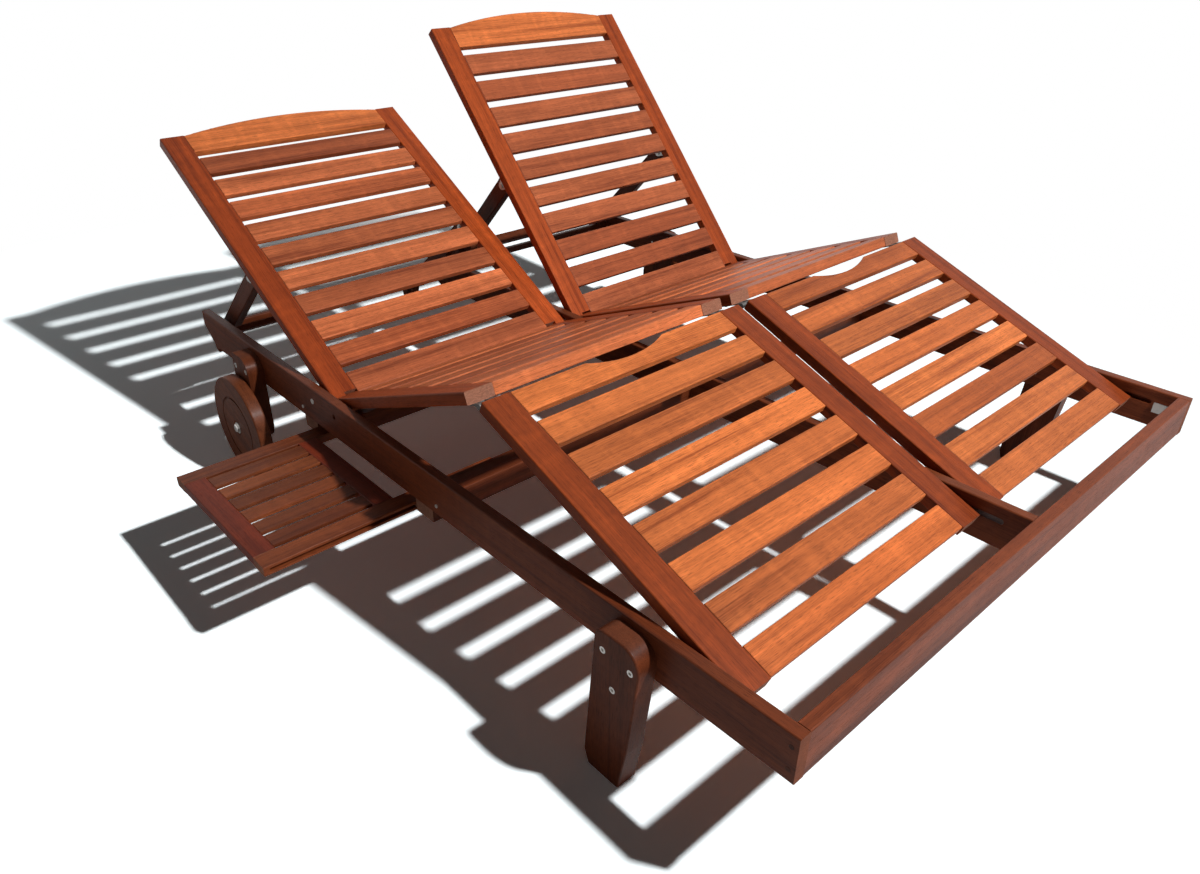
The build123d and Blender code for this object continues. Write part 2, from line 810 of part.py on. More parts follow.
def knee_lower():
    start, inner_start, inner_end, end = knee_spans()
    leaf = knee_leaf(-1, [(inner_start + knee_knuckle_gap, inner_end - knee_knuckle_gap)])
    outer_spans = (
        (start - overrun, inner_start + knee_knuckle_gap),
        (inner_end - knee_knuckle_gap, end + overrun),
    )
    for x0, x1 in outer_spans:
        leaf -= rod_x(x0, x1, 0, 0, knee_barrel_radius + knee_knuckle_gap)
    return leaf - rod_x(start - overrun, end + overrun, 0, 0, knee_pin_radius + knee_pin_fit)


def put_knee_upper(solid, side):
    """An upper leaf turns with the seat."""
    return Pos(panel_start(side), knee_place, knee_height) * (Rot(X=-seat_angle) * solid)


# Props
def prop_arm():
    """An arm along +Y from its pivot, with ratchet notches in its lower edge."""
    x0 = prop_arm_inset
    x1 = x0 + prop_arm_thickness
    half = prop_arm_width / 2
    arm = block(x0, x1, 0, prop_arm_length - half, -half, half)
    arm = eased(arm, prop_edge_radius, Axis.Y)
    arm += rod_x(x0, x1, 0, 0, half)
    arm += rod_x(x0, x1, prop_arm_length - half, 0, half)
    arm -= rod_x(x0 - overrun, x1 + overrun, 0, 0, prop_bolt_diameter / 2 + prop_bolt_fit)
    ramp = radians(prop_ramp_angle)
    seat_z = -prop_notch_offset
    low = -half - overrun
    touch_y = prop_seat_radius * cos(ramp)
    touch_z = seat_z + prop_seat_radius * sin(ramp)
    for index in range(prop_notch_count):
        y = prop_first_notch + index * prop_notch_pitch
        mouth = polygon([
            (y - prop_seat_radius, seat_z),
            (y, seat_z),
            (y + touch_y, touch_z),
            (y + touch_y + (touch_z - low) * tan(ramp), low),
            (y - prop_seat_radius - prop_notch_relief, low),
        ])
        notch = plate_x(x0 - overrun, x1 + overrun, mouth)
        notch += rod_x(x0 - overrun, x1 + overrun, y, seat_z, prop_seat_radius)
        arm -= notch
    return arm


def prop_crossbar():
    x0 = prop_arm_inset + prop_arm_thickness
    half_width = prop_crossbar_width / 2
    half_depth = prop_crossbar_thickness / 2
    place = prop_crossbar_place
    return board_x(x0, panel_width - x0, place - half_depth, place + half_depth,
                   -half_width, half_width, prop_edge_radius)


def prop_bracket():
    """A steel clevis under a back stile with the bolt that an arm turns on."""
    inner0 = prop_arm_inset - bracket_side_clearance
    inner1 = prop_arm_inset + prop_arm_thickness + bracket_side_clearance
    x0 = inner0 - bracket_thickness
    x1 = inner1 + bracket_thickness
    half = bracket_length / 2
    y = prop_pivot_place
    under = -half_panel
    bracket = block(x0, x1, y - half, y + half, under - bracket_thickness, under)
    for ear0, ear1 in ((x0, inner0), (inner1, x1)):
        ear = polygon([
            (y - half, under), (y + half, under),
            (y + bracket_ear_radius, -prop_pivot_drop), (y - bracket_ear_radius, -prop_pivot_drop),
        ])
        bracket += plate_x(ear0, ear1, ear)
        bracket += rod_x(ear0, ear1, y, -prop_pivot_drop, bracket_ear_radius)
    bolt = rod_x(x0 - prop_bolt_head_height, x1 + prop_bolt_head_height, y, -prop_pivot_drop,
                 prop_bolt_diameter / 2)
    for h0, h1 in ((x0 - prop_bolt_head_height, x0), (x1, x1 + prop_bolt_head_height)):
        bolt += rod_x(h0, h1, y, -prop_pivot_drop, prop_bolt_head_radius)
    return bracket + bolt


# Side tray
def tray_end_board(edge, way):
    """A board across an end of the tray, grooved along its outer edge."""
    inner = edge + way * tray_board_width
    board = board_x(-tray_outer_reach, tray_board_length - tray_outer_reach, min(edge, inner),
                    max(edge, inner), tray_bottom, tray_top, tray_edge_radius)
    half = tongue_thickness / 2 + guide_clearance
    middle = (tray_bottom + tray_top) / 2
    outside = edge - way * overrun
    floor = edge + way * (tongue_reach + guide_clearance)
    return board - block(guide_inset - tray_groove_margin - tray_outer_reach,
                         tray_board_length - tray_outer_reach + overrun, min(outside, floor),
                         max(outside, floor), middle - half, middle + half)


def tray_stile(x0):
    return board_y(x0, x0 + tray_stile_width, tray_front + tray_board_width, tray_rear - tray_board_width,
                   tray_bottom, tray_top, tray_edge_radius)


def tray_slats():
    x0 = tray_stile_width - tray_outer_reach
    x1 = -tray_inner_reach - tray_stile_width
    pitch = tray_slat_width + tray_slat_gap
    first = tray_front + tray_board_width + tray_slat_gap
    return [
        board_x(x0, x1, first + index * pitch, first + index * pitch + tray_slat_width,
                tray_top - tray_slat_thickness, tray_top, tray_edge_radius)
        for index in range(tray_slat_count)
    ]


def tray_guide(edge, way):
    """A batten under the rails with a tongue that runs in the groove of a tray board."""
    near = edge - way * guide_clearance
    far = edge - way * guide_width
    tip = edge + way * tongue_reach
    middle = (tray_bottom + tray_top) / 2
    guide = block(guide_inset, centre_rail_right, min(near, far), max(near, far), tray_bottom, rail_bottom)
    low_edges = guide.edges().filter_by(Axis.X).sort_by(Axis.Z)[:2]
    guide = fillet(low_edges, stretcher_edge_radius)
    return guide + block(guide_inset, centre_rail_right, min(near, tip), max(near, tip),
                         middle - tongue_thickness / 2, middle + tongue_thickness / 2)


def lounger():
    """Every node of the lounger with its solids, before the move to the shared origin."""
    nodes = {}
    rail = side_rail()
    nodes["side_rail_left"] = [rail]
    nodes["side_rail_right"] = [across(rail)]
    nodes["centre_rail"] = [centre_rail()]
    nodes["foot_rail"] = [foot_rail()]
    nodes["mid_stretchers"] = stretchers(mid_stretcher_place)
    nodes["seat_stretchers"] = stretchers(seat_stretcher_place)
    nodes["rear_stretchers"] = stretchers(rear_stretcher_place)
    nodes["prop_bars"] = prop_bars()
    nodes["pivot_plates"] = pivot_plates()
    nodes["tray_guide_front"] = [tray_guide(tray_front, 1)]
    nodes["tray_guide_rear"] = [tray_guide(tray_rear, -1)]
    for name, make in (("front_leg", front_leg), ("rear_leg", rear_leg), ("wheel", wheel)):
        piece = make()
        nodes[name + "_left"] = [piece]
        nodes[name + "_right"] = [across(piece)]
    bolt = wheel_bolt()
    nodes["wheel_bolts"] = [bolt, across(bolt)]
    nodes["leg_bolts"] = leg_bolts()
    nodes["rail_bolts"] = rail_bolts()
    bracket = corner_bracket()
    nodes["corner_brackets"] = [bracket, across(bracket)]
    pairs = [
        ("back_outer_stile", "back_inner_stile", back_stile(), put_back),
        ("prop_outer_arm", "prop_inner_arm", prop_arm(), put_prop),
        ("seat_outer_stile", "seat_inner_stile", seat_stile(), put_seat),
        ("leg_outer_stile", "leg_inner_stile", leg_stile(), put_leg),
    ]
    groups = [
        ("back_crest", [back_crest()], put_back),
        ("back_slats", back_slats(), put_back),
        ("prop_crossbar", [prop_crossbar()], put_prop),
        ("prop_brackets", both(prop_bracket()), put_back),
        ("seat_slats", seat_slats(), put_seat),
        ("leg_slats", leg_slats(), put_leg),
        ("knee_upper_leaves", both(knee_upper()), put_knee_upper),
        ("knee_lower_leaves", both(knee_lower()), put_leg),
        ("foot_pins", both(foot_pin()), put_leg),
    ]
    for side in bay_starts:
        for outer, inner, piece, put in pairs:
            first, second = (outer, inner) if side == "left" else (inner, outer)
            nodes[side + "_" + first] = [put(piece, side)]
            nodes[side + "_" + second] = [put(flip(piece), side)]
        for name, pieces, put in groups:
            nodes[side + "_" + name] = [put(piece, side) for piece in pieces]
    nodes["tray_front_board"] = [tray_end_board(tray_front, 1)]
    nodes["tray_rear_board"] = [tray_end_board(tray_rear, -1)]
    nodes["tray_outer_stile"] = [tray_stile(-tray_outer_reach)]
    nodes["tray_inner_stile"] = [tray_stile(-tray_inner_reach - tray_stile_width)]
    nodes["tray_slats"] = tray_slats()
    return nodes


def both(piece):
    """One piece at each edge of a panel."""
    return [piece, flip(piece)]


def origin_shift(nodes):
    """Move that puts the middle of the covered floor at the origin."""
    boxes = [solid.bounding_box() for solids in nodes.values() for solid in solids]
    middle_x = (min(b.min.X for b in boxes) + max(b.max.X for b in boxes)) / 2
    middle_y = (min(b.min.Y for b in boxes) + max(b.max.Y for b in boxes)) / 2
    return -middle_x, -middle_y


def single(shape):
    """The solids that a shape holds."""
    return list(shape.solids())


nodes = lounger()
shift_x, shift_y = origin_shift(nodes)

if __name__ == "__main__":
    os.makedirs("parts", exist_ok=True)
    for name, pieces in nodes.items():
        solids = [Pos(shift_x, shift_y, 0) * solid for piece in pieces for solid in single(piece)]
        shape = solids[0] if len(solids) == 1 else Compound(children=solids)
        export_step(shape, os.path.join("parts", name + ".step"))
    print("nodes", len(nodes))
    print("shift", round(shift_x, 3), round(shift_y, 3))
    print("seat to leg rest ratio", round(leg_angle / seat_angle, 4))
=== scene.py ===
import json
from math import asin, cos, pi, radians, sin

import bmesh
import bpy
from mathutils import Matrix, Vector


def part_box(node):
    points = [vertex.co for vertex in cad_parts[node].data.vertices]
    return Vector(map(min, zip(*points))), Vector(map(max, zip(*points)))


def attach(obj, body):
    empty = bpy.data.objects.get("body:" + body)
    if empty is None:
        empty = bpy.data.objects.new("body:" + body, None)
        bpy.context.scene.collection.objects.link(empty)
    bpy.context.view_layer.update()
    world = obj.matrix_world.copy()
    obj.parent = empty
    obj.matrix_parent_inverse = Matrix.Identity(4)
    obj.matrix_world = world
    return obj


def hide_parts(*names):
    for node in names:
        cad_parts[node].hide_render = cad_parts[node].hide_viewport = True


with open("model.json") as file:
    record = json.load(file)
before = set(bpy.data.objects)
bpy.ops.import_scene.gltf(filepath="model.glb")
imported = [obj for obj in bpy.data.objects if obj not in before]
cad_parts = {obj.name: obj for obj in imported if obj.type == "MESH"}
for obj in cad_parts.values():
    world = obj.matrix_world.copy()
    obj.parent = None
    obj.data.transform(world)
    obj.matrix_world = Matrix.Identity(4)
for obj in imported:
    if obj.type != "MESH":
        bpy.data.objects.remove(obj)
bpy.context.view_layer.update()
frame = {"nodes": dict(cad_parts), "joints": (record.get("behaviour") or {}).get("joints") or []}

bl_info = {
    "name": "Double chaise lounger",
    "version": (1, 0, 0),
    "blender": (4, 5, 0),
    "location": "View3D > Sidebar > Lounger",
    "description": "Dresses a double hardwood chaise lounger and sets its studio",
    "category": "Object",
}

SIDES = ("left", "right")
JOINTS = {joint["name"]: joint for joint in frame["joints"]}
NODES = frame["nodes"]


def joint_place(name):
    return Vector(JOINTS[name]["pos_m"])


# The lean of each panel about X at rest, and the way that a wheel's fibres run
BACK_LEAN = {"left": radians(29.5), "right": radians(48.3)}
SEAT_LEAN = -radians(22.75)
LEG_LEAN = radians(21.14)
WHEEL_LEAN = radians(24)
# A prop's range ends this far before it lies along its back
PROP_SPARE = radians(3)
PROP_LEAN = {
    side: radians(JOINTS[side + "_prop_hinge"]["range_deg"][1]) + PROP_SPARE - BACK_LEAN[side]
    for side in SIDES
}
BODIES = {"back": "_back", "seat": "_seat", "leg": "_legrest"}

# Slats along each panel from its joint: first slat, pitch, number of slats and their top face
SLAT_ROWS = {
    "back": (0.004, 0.085, 10, 0.013),
    "seat": (-0.5115, 0.085, 6, 0.013),
    "leg": (-0.679, 0.087, 7, 0.0325),
}
SLAT_THICKNESS = 0.016
SEAT_FRONT = (-0.585, -0.538)
SEAT_FRONT_THICKNESS = 0.026
KNEE_PLANK = (-0.072, -0.016)
SCALLOP_STEPS = 24
SHARP = radians(40)

# The tray's slats as the frame has them: number, gap between two, and pitch with a gap's place
TRAY_SLATS = 6
TRAY_GAP = 0.0076
TRAY_STEP = (0.0549, -0.0539)

# Pitch and one gap's place, which give each piece a tone of its own: pieces on either side of
# a middle, the cross pieces and the rails
APART = (1.0, 0.0)
CROSS_STEP = (0.1, -0.03)
RAIL_STEP = (0.45, -0.3)

# How fast the wood's noises run along the fibre, across it and through the board, per metre
FIBRE_ALONG = 9.0
BANDS = (1.3, 38.0, 38.0)
FIGURE = (34.0, 11.0, 11.0)
PORES = (48.0, 1250.0, 1250.0)
MOTTLE = (4.0, 7.0, 7.0)
RINGS = (1.0, 160.0, 520.0)
# Colour factors of the palest and the darkest boards, and of the figure
PALE_BOARD = (2.1, 2.2, 2.0)
DARK_BOARD = (0.62, 0.46, 0.42)
FIGURE_SHEEN = (1.5, 1.55, 1.5)

# How fast the steel's brush lines run, per metre, and the scale of its dull spots
BRUSH = (300.0, 2600.0, 2600.0)
SPOTS = 190.0

PLUG_SIDES = 20
PLUG_RISES = (-0.022, 0.022)

# The floor: its half width, its tint to the camera, and where it fades to plain white
FLOOR_REACH = 40.0
FLOOR_TINT = (0.92, 1.0, 1.02)
FADE_MIDDLE = (-0.3, 0.35)
FADE_RADII = (1.95, 2.7)
# Where the key lamp points, the camera's sensor in millimetres and how far it sees in metres
LAMP_AIM = Vector((0, 0, 0.3))
SENSOR_WIDTH = 36.0
VIEW_END = 200.0


class LoungerWood(bpy.types.PropertyGroup):
    rail_colour: bpy.props.FloatVectorProperty(
        name="Rail colour", description="Base colour of the rails, legs and cross pieces",
        subtype="COLOR", size=3, min=0, max=1, default=(0.125, 0.029, 0.010))
    stile_colour: bpy.props.FloatVectorProperty(
        name="Stile colour", description="Base colour of the beds' long side pieces",
        subtype="COLOR", size=3, min=0, max=1, default=(0.34, 0.060, 0.013))
    slat_colour: bpy.props.FloatVectorProperty(
        name="Slat colour", description="Base colour of the slats and crests", subtype="COLOR",
        size=3, min=0, max=1, default=(0.45, 0.120, 0.034))
    tray_colour: bpy.props.FloatVectorProperty(
        name="Tray colour", description="Base colour of the side tray", subtype="COLOR",
        size=3, min=0, max=1, default=(0.175, 0.045, 0.016))
    wheel_colour: bpy.props.FloatVectorProperty(
        name="Wheel colour", description="Base colour of the wheels' faces", subtype="COLOR",
        size=3, min=0, max=1, default=(0.145, 0.038, 0.013))
    slat_width: bpy.props.FloatProperty(
        name="Slat width", description="Width of the beds' slats", subtype="DISTANCE",
        unit="LENGTH", min=0.04, max=0.08, default=0.061)
    softness: bpy.props.FloatProperty(
        name="Edge softness", description="How far the slats' edges are taken off",
        subtype="DISTANCE", unit="LENGTH", min=0.0005, max=0.005, default=0.0022)
    grip_length: bpy.props.FloatProperty(
        name="Grip length", description="Length of the hand scallop at the knee",
        subtype="DISTANCE", unit="LENGTH", min=0.05, max=0.4, default=0.21)
    grip_depth: bpy.props.FloatProperty(
        name="Grip depth", description="Depth of the hand scallop at the knee", subtype="DISTANCE",
        unit="LENGTH", min=0.005, max=0.04, default=0.022)
    tray_gap: bpy.props.FloatProperty(
        name="Tray gap", description="Open space between the tray's slats", subtype="DISTANCE",
        unit="LENGTH", min=0.002, max=0.03, default=0.013)
    tray_thickness: bpy.props.FloatProperty(
        name="Tray slat thickness", description="Thickness of the tray's slats",
        subtype="DISTANCE", unit="LENGTH", min=0.004, max=0.014, default=0.008)
    end_colour: bpy.props.FloatVectorProperty(
        name="End grain colour", description="Colour of sawn ends", subtype="COLOR",
        size=3, min=0, max=1, default=(0.36, 0.17, 0.11))
    fibre_scale: bpy.props.FloatProperty(
        name="Fibre scale", description="Fibres across a metre of board",
        min=50, max=2000, default=420)
    board_spread: bpy.props.FloatProperty(
        name="Board spread", description="How much boards differ in tone", subtype="FACTOR",
        min=0, max=1, default=0.55)
    satin: bpy.props.FloatProperty(
        name="Satin", description="Roughness of the oiled surface", subtype="FACTOR",
        min=0, max=1, default=0.42)


class LoungerSteel(bpy.types.PropertyGroup):
    colour: bpy.props.FloatVectorProperty(
        name="Steel colour", description="Colour of bolts, hinges and plates", subtype="COLOR",
        size=3, min=0, max=1, default=(0.60, 0.585, 0.56))
    roughness: bpy.props.FloatProperty(
        name="Steel roughness", description="Roughness of plain steel", subtype="FACTOR",
        min=0, max=1, default=0.30)
    plug_radius: bpy.props.FloatProperty(
        name="Plug radius", description="Radius of the wood plugs over the screws",
        subtype="DISTANCE", unit="LENGTH", min=0.001, max=0.02, default=0.0045)
    plug_height: bpy.props.FloatProperty(
        name="Plug height", description="How far a plug stands above the wood", subtype="DISTANCE",
        unit="LENGTH", min=0.0001, max=0.002, default=0.0004)


class LoungerStage(bpy.types.PropertyGroup):
    floor_colour: bpy.props.FloatVectorProperty(
        name="Floor colour", description="Colour of the plain floor", subtype="COLOR",
        size=3, min=0, max=1, default=(0.74, 0.74, 0.74))
    floor_shown: bpy.props.FloatProperty(
        name="Floor as seen", description="How pale the lit floor is to the camera",
        min=0, max=3, default=1.6)
    camera_place: bpy.props.FloatVectorProperty(
        name="Camera place", description="Where the camera stands",
        subtype="TRANSLATION", unit="LENGTH", size=3, default=(-1.40817, -1.50684, 1.29463))
    camera_heading: bpy.props.FloatProperty(
        name="Camera heading", description="Heading of the view from the head end's direction",
        subtype="ANGLE", unit="ROTATION", default=0.742785)
    camera_pitch: bpy.props.FloatProperty(
        name="Camera pitch", description="How far the view looks down", subtype="ANGLE",
        unit="ROTATION", default=0.526576)
    camera_roll: bpy.props.FloatProperty(
        name="Camera roll", description="Roll of the camera about its view", subtype="ANGLE",
        unit="ROTATION", default=0.0094497)
    lens: bpy.props.FloatProperty(
        name="Lens", description="Focal length in millimetres", min=10, max=200, default=27.23)
    camera_shift: bpy.props.FloatVectorProperty(
        name="Camera shift", description="Shift of the frame in shares of its width",
        size=2, default=(0.0081, 0.00094))
    key_place: bpy.props.FloatVectorProperty(
        name="Key lamp place", description="Where the key lamp hangs",
        subtype="TRANSLATION", unit="LENGTH", size=3, default=(0.50, -2.81, 3.41))
    key_power: bpy.props.FloatProperty(
        name="Key power", description="Power of the key lamp in watts",
        min=0, max=5000, default=190)
    key_size: bpy.props.FloatProperty(
        name="Key size", description="Diameter of the key lamp", subtype="DISTANCE", unit="LENGTH",
        min=0.01, max=5, default=0.15)
    fill: bpy.props.FloatProperty(
        name="Fill", description="Strength of the soft light from all round",
        min=0, max=2, default=0.20)
    overhead: bpy.props.FloatProperty(
        name="Overhead", description="Share of the soft light that comes from straight above",
        subtype="FACTOR", min=0, max=1, default=0.05)


GROUPS = (
    ("lounger_wood", LoungerWood),
    ("lounger_steel", LoungerSteel),
    ("lounger_stage", LoungerStage),
)


class Link:
    """A socket in plain arithmetic: each operator adds the node that works it out."""

    def __init__(self, maker, socket, kind="value"):
        self.maker = maker
        self.socket = socket
        self.kind = kind

    def _math(self, operation, *others):
        settings = {"operation": operation}
        if self.kind == "vector":
            return self.maker.add("ShaderNodeVectorMath", settings, [self, *others], kind="vector")
        return self.maker.add("ShaderNodeMath", settings, [self, *others])

    def __add__(self, other):
        return self._math("ADD", other)

    __radd__ = __add__

    def __sub__(self, other):
        return self._math("SUBTRACT", other)

    def __rsub__(self, other):
        return self.maker.add("ShaderNodeMath", {"operation": "SUBTRACT"}, [other, self])

    def __mul__(self, other):
        return self._math("MULTIPLY", other)

    __rmul__ = __mul__

    def __truediv__(self, other):
        return self._math("DIVIDE", other)

    def __pow__(self, other):
        return self._math("POWER", other)

    def __abs__(self):
        return self._math("ABSOLUTE")

    def floor(self):
        return self._math("FLOOR")

    def clamped(self, low, high):
        """0 below low, 1 above high and smooth between them."""
        return self.maker.add("ShaderNodeMapRange", {"interpolation_type": "SMOOTHSTEP"},
                              {"Value": self, "From Min": low, "From Max": high})


class Maker:
    """Builds the nodes of one finish, or of the light from all round."""

    def __init__(self, name, owner=None):
        self.material = owner or bpy.data.materials.new(name)
        self.material.use_nodes = True
        self.tree = self.material.node_tree
        self.shader = self.tree.nodes.get("Principled BSDF")

    def add(self, kind_of_node, settings=None, inputs=None, output=0, kind="value"):
        """One node: its settings first, then its values and links."""
        node = self.tree.nodes.new(kind_of_node)
        for key, value in (settings or {}).items():
            if key == "stops":
                self._stops(node, value)
            else:
                setattr(node, key, value)
        pairs = inputs.items() if isinstance(inputs, dict) else enumerate(inputs or [])
        for key, value in pairs:
            self._feed(node.inputs[key], value)
        return Link(self, node.outputs[output], kind)

    def _stops(self, node, stops):
        ramp = node.color_ramp
        while len(ramp.elements) < len(stops):
            ramp.elements.new(0.5)
        for element, (place, colour) in zip(ramp.elements, stops):
            element.position = place
            element.color = (*colour, 1.0)

    def _feed(self, socket, value):
        if isinstance(value, Link):
            self.tree.links.new(value.socket, socket)
        elif socket.type == "RGBA" and len(value) == 3:
            socket.default_value = (*value, 1.0)
        else:
            socket.default_value = value

    def split(self, vector):
        node = self.tree.nodes.new("ShaderNodeSeparateXYZ")
        self.tree.links.new(vector.socket, node.inputs[0])
        return [Link(self, out) for out in node.outputs]

    def vector(self, x, y, z):
        return self.add("ShaderNodeCombineXYZ", {}, [x, y, z], kind="vector")

    def noise(self, place, scale, detail=2.0, roughness=0.5, distortion=0.0):
        return self.add("ShaderNodeTexNoise", {}, {
            "Vector": place, "Scale": scale, "Detail": detail, "Roughness": roughness,
            "Distortion": distortion})

    def chance(self, value):
        return self.add("ShaderNodeTexWhiteNoise", {"noise_dimensions": "1D"}, {"W": value})

    def mix(self, share, first, second, blend="MIX"):
        """Share of the second colour over the first."""
        node = self.tree.nodes.new("ShaderNodeMix")
        node.data_type = "RGBA"
        node.blend_type = blend
        for key, value in ((0, share), (6, first), (7, second)):
            self._feed(node.inputs[key], value)
        return Link(self, node.outputs[2], "colour")

    def looked_at(self):
        """1 for a ray from the camera, also by way of gloss or glass, and 0 for any other."""
        rays = self.tree.nodes.new("ShaderNodeLightPath")
        return sum(Link(self, rays.outputs[name]) for name in (
            "Is Camera Ray", "Is Glossy Ray", "Is Transmission Ray"))

    def shade(self, **values):
        for key, value in values.items():
            self._feed(self.shader.inputs[key.replace("_", " ")], value)
        return self.material


def toned(colour, amount):
    """The colour made lighter or darker."""
    return tuple(min(1.0, part * amount) for part in colour)


def redder(colour, amount):
    """The colour moved towards red."""
    red, green, blue = colour
    return min(1.0, red * (1 + amount)), green * (1 - amount), blue * (1 - amount)


def with_painted_sheen(colour, amount):
    """The colour moved a little towards pink, a painted sheen of pale reflection."""
    red, green, blue = colour
    return red * (1 - amount * 0.15), green * (1 - amount * 0.2), blue * (1 + amount)


def wood(name, colour, lean=0.0, start=(0.0, 0.0, 0.0), along="X", step=None, spread=None,
         seed=0.0, ends=0.8):
    """Oiled red hardwood with its fibres along one axis of boards that lean about X.

    step is the boards' pitch and the place of one gap, so that each board has a tone of its own.
    ends is how plainly the sawn ends show.
    """
    look = bpy.context.scene.lounger_wood
    maker = Maker(name)
    place = maker.add("ShaderNodeTexCoord", {}, {}, output=3, kind="vector")
    x, y, z = maker.split(place)
    x = x - start[0]
    y = y - start[1]
    z = z - start[2]
    run = y * cos(lean) + z * sin(lean)
    rise = z * cos(lean) - y * sin(lean)
    facing = maker.split(maker.add("ShaderNodeNewGeometry", {}, {}, output=1, kind="vector"))
    if along == "X":
        fibre, side = x, run
        end = abs(facing[0])
    elif along == "Z":
        fibre, side, rise = z, run, x
        end = abs(facing[2])
    else:
        fibre, side = run, x
        end = abs(facing[1] * cos(lean) + facing[2] * sin(lean))
    end = end.clamped(0.86, 0.97)
    board = ((side - step[1]) / step[0]).floor() if step else side * 0.0
    luck = maker.chance(board * 0.731 + seed)
    other_luck = maker.chance(board * 1.317 + (seed + 9.3))
    shift = luck * 7.0
    body = maker.vector(fibre + shift, side + shift * 1.3, rise + shift * 0.7)
    fine = (FIBRE_ALONG, look.fibre_scale, look.fibre_scale)
    fibres = maker.noise(body * fine, 1.0, 3.0, 0.65, 0.15)
    bands = maker.noise(body * BANDS, 1.0, 3.0, 0.55, 0.7)
    figure = maker.noise(body * FIGURE, 1.0, 1.0, 0.5, 0.5)
    pores = maker.noise(body * PORES, 1.0, 1.0, 0.5).clamped(0.56, 0.68)
    mottle = maker.noise(body * MOTTLE, 1.0, 2.0, 0.5)
    dark = redder(toned(colour, 0.42), 0.10)
    tone = bands * 0.62 + fibres * 0.42 - 0.02
    base = maker.add("ShaderNodeValToRGB", {"stops": [
        (0.34, dark), (0.47, toned(colour, 0.86)), (0.57, toned(colour, 1.08)),
        (0.70, toned(colour, 1.45))]}, [tone])
    spread = look.board_spread if spread is None else spread
    base = maker.mix(luck.clamped(0.35, 1.0) * spread, base, PALE_BOARD, "MULTIPLY")
    base = maker.mix(other_luck.clamped(0.4, 1.0) * spread, base, DARK_BOARD, "MULTIPLY")
    base = maker.mix(figure.clamped(0.45, 0.75) * 0.30, base, FIGURE_SHEEN, "MULTIPLY")
    base = maker.mix(mottle.clamped(0.5, 0.8) * 0.30, base, dark)
    base = maker.mix(pores * 0.6, base, toned(colour, 0.28))
    rings = maker.noise(maker.vector(fibre * 0.0, side, rise) * RINGS, 1.0, 2.0, 0.5, 0.8)
    sawn = maker.mix(rings.clamped(0.35, 0.7), toned(look.end_colour, 0.62), look.end_colour)
    base = maker.mix(end * ends, base, sawn)
    rough = look.satin + fibres * 0.12 + pores * 0.12 + end * 0.25 + mottle * 0.10 - 0.08
    height = fibres * 0.55 + bands * 0.25 - pores * 0.9
    bump = maker.add("ShaderNodeBump", {}, {
        "Strength": 0.22, "Distance": 0.0006, "Height": height}, kind="vector")
    maker.shader.inputs["Specular IOR Level"].default_value = 0.10
    maker.shader.inputs["Coat Roughness"].default_value = 0.26
    return maker.shade(Base_Color=base, Roughness=rough, Normal=bump,
                       Coat_Weight=0.05 - end * 0.05)


def steel(name, colour, roughness, stain=0.25):
    """Plain zinc plated steel with fine brush lines, dull spots and a little tarnish."""
    maker = Maker(name)
    place = maker.add("ShaderNodeTexCoord", {}, {}, output=3, kind="vector")
    lines = maker.noise(place * BRUSH, 1.0, 2.0, 0.6)
    spots = maker.noise(place, SPOTS, 3.0, 0.6)
    base = maker.mix(spots.clamped(0.5, 0.75) * stain, colour, toned(colour, 0.42))
    base = maker.mix(lines.clamped(0.35, 0.7) * 0.3, base, toned(colour, 1.2))
    bump = maker.add("ShaderNodeBump", {}, {
        "Strength": 0.12, "Distance": 0.0002, "Height": lines}, kind="vector")
    rough = roughness + spots * 0.22 + lines * 0.10 - 0.1
    return maker.shade(Base_Color=base, Metallic=1.0, Roughness=rough, Normal=bump)


def dress(material, *names):
    """Gives CAD nodes a finish."""
    for name in names:
        mesh = NODES[name].data
        mesh.materials.clear()
        mesh.materials.append(material)


def piece(name, mesh, body, material):
    thing = bpy.data.objects.new(name, mesh)
    bpy.context.scene.collection.objects.link(thing)
    mesh.materials.append(material)
    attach(thing, body)
    return thing


class LOUNGER_OT_frame_wood(bpy.types.Operator):
    """Dark red-brown hardwood on the rails, cross pieces, legs and guides"""
    bl_idname = "lounger.frame_wood"
    bl_label = "Base frame wood"

    def execute(self, context):
        colour = context.scene.lounger_wood.rail_colour
        rail = wood("rail_wood", colour, along="Y", step=RAIL_STEP, spread=0.3, seed=3.0, ends=0.2)
        dress(rail, "side_rail_left", "side_rail_right", "centre_rail")
        foot = wood("foot_rail_wood", toned(colour, 1.35), along="X", spread=0.15, seed=5.0)
        dress(foot, "foot_rail")
        cross = wood("cross_wood", colour, along="X", step=CROSS_STEP, spread=0.35, seed=6.0)
        dress(cross, "mid_stretchers", "seat_stretchers", "rear_stretchers")
        batten = wood("batten_wood", toned(colour, 0.85), along="X", spread=0.2, seed=7.0)
        dress(batten, "prop_bars", "tray_guide_front", "tray_guide_rear")
        leg = wood("leg_wood", toned(colour, 0.78), along="Z", step=APART, spread=0.3, seed=8.0,
                   ends=0.08)
        dress(leg, "front_leg_left", "front_leg_right", "rear_leg_left", "rear_leg_right")
        return {"FINISHED"}


def plank(x0, x1, near, far, top, thickness):
    """A plain board: its outline in the panel's plane, its top face and its thickness."""
    return [(x0, near), (x1, near), (x1, far), (x0, far)], top, thickness


